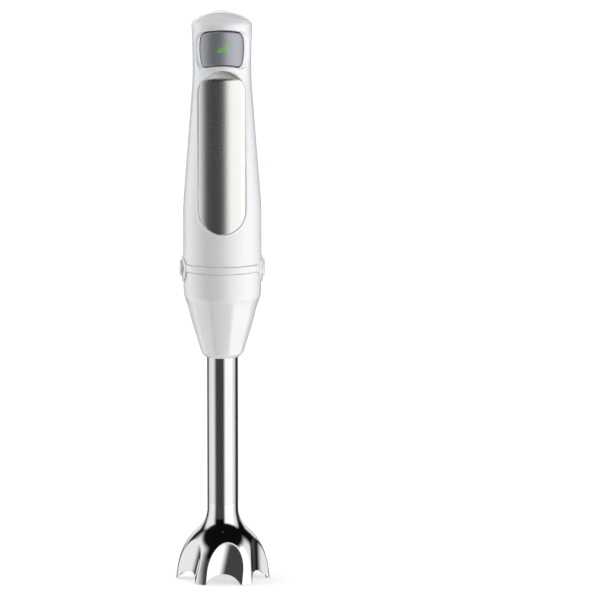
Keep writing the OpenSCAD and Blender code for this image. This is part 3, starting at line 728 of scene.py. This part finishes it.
front = Casing(back=False)
place_front = on_handle(back=False)
front_loops = [
    flatten(stadium_loop(PANEL_GAP + c)) for c in (*(PANEL_EDGE * RINGS), *BEAD_RINGS)
]
for distance, values in ((window_distance, WINDOW_RINGS), (pocket_distance, POCKET_RINGS)):
    front_loops += [
        flatten(level(distance, (0, SWITCH_Z), v, WINDOW_POINTS)) for v in values
    ]


def keep_front(flat):
    x, z = front_view(flat)
    return (
        (front.distance(flat) > 0)
        & (panel_distance(x, z) > PANEL_GAP)
        & (window_distance(x, z) > 0)
    )


flat, faces = fill(
    front_loops,
    front.chains(),
    keep_front,
    spacing=(1.5, 2.0),
    origin=(-40, 0),
    extent=(40, 182),
)
skin(
    "front_casing",
    flat,
    faces,
    lambda p: place_front(p, front_depth(p)),
    lambda p: place_front(p, front_inside(p)),
    "motor_unit",
    "white_plastic",
    ["front_shell"],
)

# Back half, sunk under the grip and bored for the cord inlet
GRIP_LOW, GRIP_HIGH, GRIP_ROUND, GRIP_T, GRIP_GAP = 240.0, 375.0, 27.6, 1.0, 0.1
SEAT_RINGS = (-0.05, 0.0)
GLAND_Z, GLAND_R, GLAND_GAP, GLAND_CLEAR = 366.0, 5.6, 0.05, 1.9
BORE_RINGS, BORE_POINTS = (0, 0.5), 60
PAST_SPLIT = 1.9  # azimuth beyond the parting of the two halves


def grip_distance(x, z):
    """Signed distance to the grip's round foot and level top, seen from behind."""
    low = GRIP_LOW + GRIP_ROUND
    return np.where(z < low, np.hypot(x, z - low) - GRIP_ROUND, z - GRIP_HIGH)


def bore_distance(x, z):
    return np.hypot(x, z - GLAND_Z)


def grip_chain(grow):
    """The grip's lower edge, level in front of the axis, and its upper edge."""
    over = np.linspace(math.pi, math.tau, 140)
    r = GRIP_ROUND + grow
    arc = np.stack([r * np.cos(over), GRIP_LOW + GRIP_ROUND + r * np.sin(over)], 1)
    arc = flatten(arc[np.abs(arc[:, 0]) < handle_radius(arc[:, 1]) - 0.01])
    out = np.linspace(arc[-1, 0], PAST_SPLIT * UNROLL, 14)[1:]
    right = np.stack([out, np.full_like(out, arc[-1, 1])], 1)
    left = (right * (-1, 1))[::-1]
    across = np.linspace(-PAST_SPLIT, PAST_SPLIT, 100) * UNROLL
    line = np.stack([across, np.full_like(across, HANDLE.reach(GRIP_HIGH + grow))], 1)
    return np.concatenate([left, arc, right]), line


def bore_loop(r):
    over = np.linspace(0, math.tau, BORE_POINTS, endpoint=False)
    return flatten(np.stack([r * np.cos(over), GLAND_Z + r * np.sin(over)], 1))


rear = Casing(back=True)
place_rear = on_handle(back=True)


def grip_side(flat):
    """Signed distance to the grip's outline, which runs level in front of the axis."""
    r, z = HANDLE.at(flat[:, 1])
    turn = np.clip(flat[:, 0] / UNROLL, -math.pi / 2, math.pi / 2)
    return grip_distance(r * np.sin(turn), z)


def rear_depth(flat):
    sunk = (GRIP_T + GRIP_GAP) * step_down(grip_side(flat), *SEAT_RINGS)
    return np.maximum(rear.depth(flat), sunk)


def keep_rear(flat):
    x, z = front_view(flat)
    return (rear.distance(flat) > 0) & (bore_distance(x, z) > GLAND_R + GLAND_GAP)


rear_chains = rear.chains()
for grow in SEAT_RINGS:
    rear_chains += grip_chain(grow)
rear_loops = [bore_loop(GLAND_R + GLAND_GAP + c) for c in BORE_RINGS]
flat, faces = fill(
    rear_loops,
    rear_chains,
    keep_rear,
    spacing=(2.0, 2.5),
    origin=(-52, 0),
    extent=(52, 182),
)
skin(
    "rear_casing",
    flat,
    faces,
    lambda p: place_rear(p, rear_depth(p)),
    lambda p: place_rear(p, np.full(len(p), REAR_T)),
    "motor_unit",
    "white_plastic",
    ["rear_shell"],
)

GRIP_EDGE = 0.35


def grip_depth(flat):
    x, z = front_view(flat)
    outline = -GRIP_GAP - grip_side(flat)
    bore = bore_distance(x, z) - GLAND_R - GLAND_CLEAR
    return np.maximum.reduce(
        [rounding(d, GRIP_EDGE) for d in (outline, rear.inside_parting(flat), bore)]
    )


def keep_grip(flat):
    x, z = front_view(flat)
    return (
        (rear.distance(flat) > 0)
        & (grip_side(flat) < -GRIP_GAP)
        & (bore_distance(x, z) > GLAND_R + GLAND_CLEAR)
    )


grip_chains = []
for c in GRIP_EDGE * RINGS:
    grip_chains += grip_chain(-GRIP_GAP - c)
for c in CASING_EDGE * RINGS:
    grip_chains += rear.parting(np.arange(10, HANDLE.reach(GRIP_HIGH) + 4, 1.5), c)
grip_loops = [bore_loop(GLAND_R + GLAND_CLEAR + c) for c in GRIP_EDGE * RINGS]
flat, faces = fill(
    grip_loops,
    grip_chains,
    keep_grip,
    spacing=(2.0, 2.5),
    origin=(-52, 10),
    extent=(52, 182),
)
skin(
    "grip_skin",
    flat,
    faces,
    lambda p: place_rear(p, grip_depth(p)),
    lambda p: place_rear(p, np.full(len(p), GRIP_T)),
    "motor_unit",
    "grip_plastic",
    ["rear_grip"],
)

# ---------------------------------------------------------------- crown cap

UNLOCK_LEAN = math.radians(15.8)
UNLOCK_R, UNLOCK_SIDE, UNLOCK_GAP = 4.4, 3.0, 0.3
CAP_EDGE, CAP_T, CAP_REACH = 0.3, 1.8, 34.0
SEAM_POINTS, UNLOCK_POINTS = 150, 80


def cap_view(flat, depth=0.0):
    """Radius, height and direction of flat points, which lie round the crown's top."""
    run = np.hypot(flat[:, 0], flat[:, 1])
    r, z = HANDLE.at(HANDLE.length - run, depth)
    way = flat / np.maximum(run, 1e-9)[:, None]
    return r, z, way


def place_cap(flat, depth):
    r, z, way = cap_view(flat, depth)
    return np.stack([r * way[:, 0], r * way[:, 1], z], 1)


def cap_seam(flat):
    """Distance above the crown's leaning seam."""
    r, z, way = cap_view(flat)
    return (z + r * way[:, 1] * SEAM_TAN - SEAM_Z - GAP) * math.cos(SEAM_LEAN)


def unlock_distance(flat):
    """Distance outside the opening of the unlock button."""
    p = place_cap(flat, 0.0)
    rise = p[:, 2] - BALL_Z
    across = p[:, 1] * math.cos(UNLOCK_LEAN) - rise * math.sin(UNLOCK_LEAN)
    beyond = np.maximum(np.abs(p[:, 0]) - UNLOCK_SIDE, 0)
    return np.hypot(beyond, across) - UNLOCK_R - UNLOCK_GAP


def cap_depth(flat):
    return np.maximum(
        rounding(cap_seam(flat), CAP_EDGE), rounding(unlock_distance(flat), CAP_EDGE)
    )


def keep_cap(flat):
    return (cap_seam(flat) > 0) & (unlock_distance(flat) > 0)


def below_seam(x, y):
    return -cap_seam(np.stack([x, y], 1))


def beyond_unlock(x, y):
    return unlock_distance(np.stack([x, y], 1))


middle = (0.0, BALL_R * UNLOCK_LEAN)
cap_loops = [
    level(below_seam, (0.0, 0.0), -c, SEAM_POINTS, CAP_REACH) for c in CAP_EDGE * RINGS
]
cap_loops += [
    level(beyond_unlock, middle, c, UNLOCK_POINTS, CAP_REACH) for c in CAP_EDGE * RINGS
]
flat, faces = fill(
    cap_loops, [], keep_cap, spacing=(1.3, 1.3), origin=(-32, -32), extent=(32, 32)
)
skin(
    "crown_skin",
    flat,
    faces,
    lambda p: place_cap(p, cap_depth(p)),
    lambda p: place_cap(p, np.full(len(p), CAP_T)),
    "motor_unit",
    "white_plastic",
    ["top_cap"],
)

# ---------------------------------------------------------------- steel panel and switch

PANEL_FACE_EDGE, PANEL_FIT, PANEL_T = 0.3, 0.02, 1.0
SWITCH_EDGE, SWITCH_DOME, SWITCH_STEP, SWITCH_T = 1.5, 0.6, 0.05, 2.2
SWITCH_STEP_RINGS, SWITCH_POINTS = (1.6, 1.8, 2.0), 160


def unroll(loop, r):
    """A loop drawn in sideways place and height, brought to flat points on a cylinder."""
    return np.stack([np.arcsin(loop[:, 0] / r) * r, loop[:, 1]], 1)


def place_panel(flat, depth):
    turn = flat[:, 0] / HANDLE_R
    x, z = HANDLE_R * np.sin(turn), flat[:, 1]
    y = panel_front(x, z)
    return np.stack([x - depth * np.sin(turn), y + depth * np.cos(turn), z], 1)


def panel_edge(flat):
    return -panel_distance(HANDLE_R * np.sin(flat[:, 0] / HANDLE_R), flat[:, 1])


panel_loops = [
    unroll(stadium_loop(-PANEL_FIT - c), HANDLE_R) for c in PANEL_FACE_EDGE * RINGS
]
flat, faces = fill(
    panel_loops,
    [],
    lambda p: panel_edge(p) > PANEL_FIT,
    spacing=(1.2, 1.0),
    origin=(-19, 243),
    extent=(19, 357),
)
skin(
    "panel_skin",
    flat,
    faces,
    lambda p: place_panel(p, rounding(panel_edge(p) - PANEL_FIT, PANEL_FACE_EDGE)),
    lambda p: place_panel(p, np.full(len(p), PANEL_T)),
    "motor_unit",
    "panel_steel",
    ["steel_panel"],
)


def place_switch(flat, depth):
    turn = flat[:, 0] / SWITCH_R
    r = SWITCH_R - depth
    return np.stack([r * np.sin(turn), -r * np.cos(turn), flat[:, 1]], 1)


def switch_edge(flat):
    return -switch_distance(SWITCH_R * np.sin(flat[:, 0] / SWITCH_R), flat[:, 1])


def switch_depth(flat):
    """Depth of the switch's face: a flattened round at its edge, and a slight step inside it."""
    edge = switch_edge(flat)
    step = step_down(edge, SWITCH_STEP_RINGS[0], SWITCH_STEP_RINGS[-1])
    return SWITCH_DOME * rounding(edge, SWITCH_EDGE) + SWITCH_STEP * step


switch_loops = [
    unroll(level(switch_distance, (0, SWITCH_Z), -c, SWITCH_POINTS), SWITCH_R)
    for c in (*(SWITCH_EDGE * RINGS), *SWITCH_STEP_RINGS)
]
flat, faces = fill(
    switch_loops,
    [],
    lambda p: switch_edge(p) > 0,
    spacing=(1.0, 1.0),
    origin=(-19, 358),
    extent=(19, 385),
)
skin(
    "switch_skin",
    flat,
    faces,
    lambda p: place_switch(p, switch_depth(p)),
    lambda p: place_switch(p, np.full(len(p), SWITCH_T)),
    "speed_switch",
    "switch_plastic",
    ["switch_cap"],
)

# ---------------------------------------------------------------- release buttons

BUTTON_Z, BUTTON_R, BUTTON_SIDE = 218.1, 5.65, 2.05
BUTTON_EDGE, BUTTON_DOME_R, BUTTON_DEPTH, BUTTON_POINTS = 0.7, 70.0, 6.8, 40
BUTTON_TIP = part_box("release_button_right")[1].x / MM


def button_edge(flat):
    beyond = np.maximum(np.abs(flat[:, 0]) - BUTTON_SIDE, 0)
    return BUTTON_R - np.hypot(beyond, flat[:, 1])


def button_loop(inset):
    r = BUTTON_R - inset
    over = np.linspace(-math.pi / 2, math.pi / 2, BUTTON_POINTS)
    right = np.stack([BUTTON_SIDE + r * np.cos(over), r * np.sin(over)], 1)
    return np.concatenate([right, -right])


def place_button(flat, depth, side):
    sag = (flat**2).sum(1) / (2 * BUTTON_DOME_R)
    x = side * (BUTTON_TIP - sag - depth)
    return np.stack([x, side * flat[:, 0], BUTTON_Z + flat[:, 1]], 1)


flat, faces = fill(
    [button_loop(c) for c in BUTTON_EDGE * RINGS],
    [],
    lambda p: button_edge(p) > 0,
    spacing=(1.0, 1.0),
    origin=(-8, -6),
    extent=(8, 6),
)
for side, name in ((1, "right"), (-1, "left")):
    skin(
        f"button_skin_{name}",
        flat,
        faces,
        lambda p: place_button(p, rounding(button_edge(p), BUTTON_EDGE), side),
        lambda p: place_button(p, np.full(len(p), BUTTON_DEPTH), side),
        f"release_{name}",
        "white_plastic",
        [f"release_button_{name}"],
    )

# ---------------------------------------------------------------- stage, light and camera

FLOOR_R, FLOOR_Z, FLOOR_SIDES = 40, -0.0004, 96

floor_mesh = bpy.data.meshes.new("floor")
around = [k * math.tau / FLOOR_SIDES for k in range(FLOOR_SIDES)]
floor_mesh.from_pydata(
    [(FLOOR_R * math.sin(a), -FLOOR_R * math.cos(a), FLOOR_Z) for a in around],
    [],
    [list(range(FLOOR_SIDES))],
)
floor = bpy.data.objects.new("floor", floor_mesh)
bpy.context.scene.collection.objects.link(floor)
floor.visible_glossy = False
floor.visible_diffuse = False
floor_finish = bpy.data.materials.new("floor")
floor_finish.use_nodes = True
n = Nodes(floor_finish.node_tree)
where = n.add("ShaderNodeTexCoord").outputs["Object"]
paint = n.blend(n.noise(where, 6.0), (0.62, 0.62, 0.62, 1), (0.65, 0.65, 0.65, 1))
shader = n.add(
    "ShaderNodeBsdfPrincipled",
    {
        "Base Color": paint,
        "Roughness": 0.9,
        "Emission Color": (1, 1, 1, 1),
        "Emission Strength": 0.62,
    },
)
n.add("ShaderNodeOutputMaterial", {0: shader.outputs[0]})
floor_mesh.materials.append(floor_finish)

# Soft boxes on a dim surround. Each has the azimuth of its middle, its half width and the
# softness of its sides, then its lowest and highest elevation, all in degrees, and its brightness.
# The first set lights the surfaces, and the second is what the polished ones mirror.
LIT_BY = [
    (48, 38, 12, -95, 56, 0.85),
    (53, 27, 12, -95, 56, 1.4),
    (-84, 26, 20, -95, 60, 0.8),
    (-98, 22, 12, -95, 60, 2.1),
    (-148, 26, 8, 4, 52, 1.4),
    (142, 26, 8, 4, 52, 0.4),
    (180, 60, 20, -95, 70, 0.2),
]
MIRRORED = [
    (44, 30, 11, -95, 44, 1.2),
    (88, 20, 12, -95, 44, 0.9),
    (-92, 32, 14, -95, 44, 0.92),
    (-100, 45, 16, -95, -18, 0.3),
    (-20, 50, 20, -95, 26, 0.055),
    (-166, 17, 8, 0, 26, 0.85),
    (166, 17, 8, 0, 26, 0.8),
    (180, 50, 14, -95, 14, 0.07),
]
SURROUND = 0.004
SOFT_TOP = 6
DEGREES = 180 / math.pi

world = bpy.data.worlds.new("studio")
bpy.context.scene.world = world
world.use_nodes = True
n = Nodes(world.node_tree)
way = n.add("ShaderNodeTexCoord").outputs["Generated"]
axes = n.add("ShaderNodeSeparateXYZ", {0: way}).outputs
elevation = n.math("MULTIPLY", n.math("ARCSINE", axes[2]), DEGREES)
level_way = n.add(
    "ShaderNodeVectorMath",
    {0: n.add("ShaderNodeCombineXYZ", {0: axes[0], 1: axes[1]}).outputs[0]},
    operation="NORMALIZE",
).outputs[0]


def soft_boxes(boxes):
    """Brightness of the soft boxes over the surround, by direction."""
    light = SURROUND
    for middle_az, half, soft, low, top, bright in boxes:
        a = math.radians(middle_az)
        facing = n.add(
            "ShaderNodeVectorMath",
            {0: level_way, 1: (math.sin(a), -math.cos(a), 0)},
            operation="DOT_PRODUCT",
        ).outputs["Value"]
        off = n.math("ARCCOSINE", n.math("MINIMUM", facing, 1.0))
        off = n.math("MULTIPLY", off, DEGREES)
        box = n.span(off, half - soft, half + soft, bright, 0, smooth=True)
        for edge, below, above in ((top, 1, 0), (low, 0, 1)):
            start, end = edge - SOFT_TOP, edge + SOFT_TOP
            fade = n.span(elevation, start, end, below, above, smooth=True)
            box = n.math("MULTIPLY", box, fade)
        light = n.math("ADD", box, light)
    return light


path = n.add("ShaderNodeLightPath").outputs
mirror = path["Is Glossy Ray"]
light = n.math(
    "ADD",
    n.math("MULTIPLY", soft_boxes(LIT_BY), n.math("SUBTRACT", 1.0, mirror)),
    n.math("MULTIPLY", soft_boxes(MIRRORED), mirror),
)
seen = path["Is Camera Ray"]  # the camera itself sees white
shade = n.math("ADD", n.math("MULTIPLY", light, n.math("SUBTRACT", 1.0, seen)), seen)
grey = n.add("ShaderNodeCombineColor", {0: shade, 1: shade, 2: shade}).outputs[0]
background = n.add("ShaderNodeBackground", {0: grey})
n.add("ShaderNodeOutputWorld", {0: background.outputs[0]})

bpy.context.scene.view_settings.view_transform = "Standard"

ELEVATION, DISTANCE, AIM_HEIGHT, AIM_RIGHT = math.radians(8.2), 3.6, 0.1949, 0.0537
SENSOR_WIDTH, HALF_FIELD, CLIP_END = 36, math.radians(6.6 / 2), 200
camera_data = bpy.data.cameras.new("camera")
camera_data.sensor_width = SENSOR_WIDTH
camera_data.lens = SENSOR_WIDTH / 2 / math.tan(HALF_FIELD)
camera_data.clip_end = CLIP_END
camera = bpy.data.objects.new("camera", camera_data)
bpy.context.scene.collection.objects.link(camera)
camera.location = (
    0,
    -DISTANCE * math.cos(ELEVATION),
    AIM_HEIGHT + DISTANCE * math.sin(ELEVATION),
)
view_line = Vector((AIM_RIGHT, 0, AIM_HEIGHT)) - camera.location
camera.rotation_mode = "QUATERNION"
camera.rotation_quaternion = view_line.to_track_quat("-Z", "Y")
bpy.context.scene.camera = camera
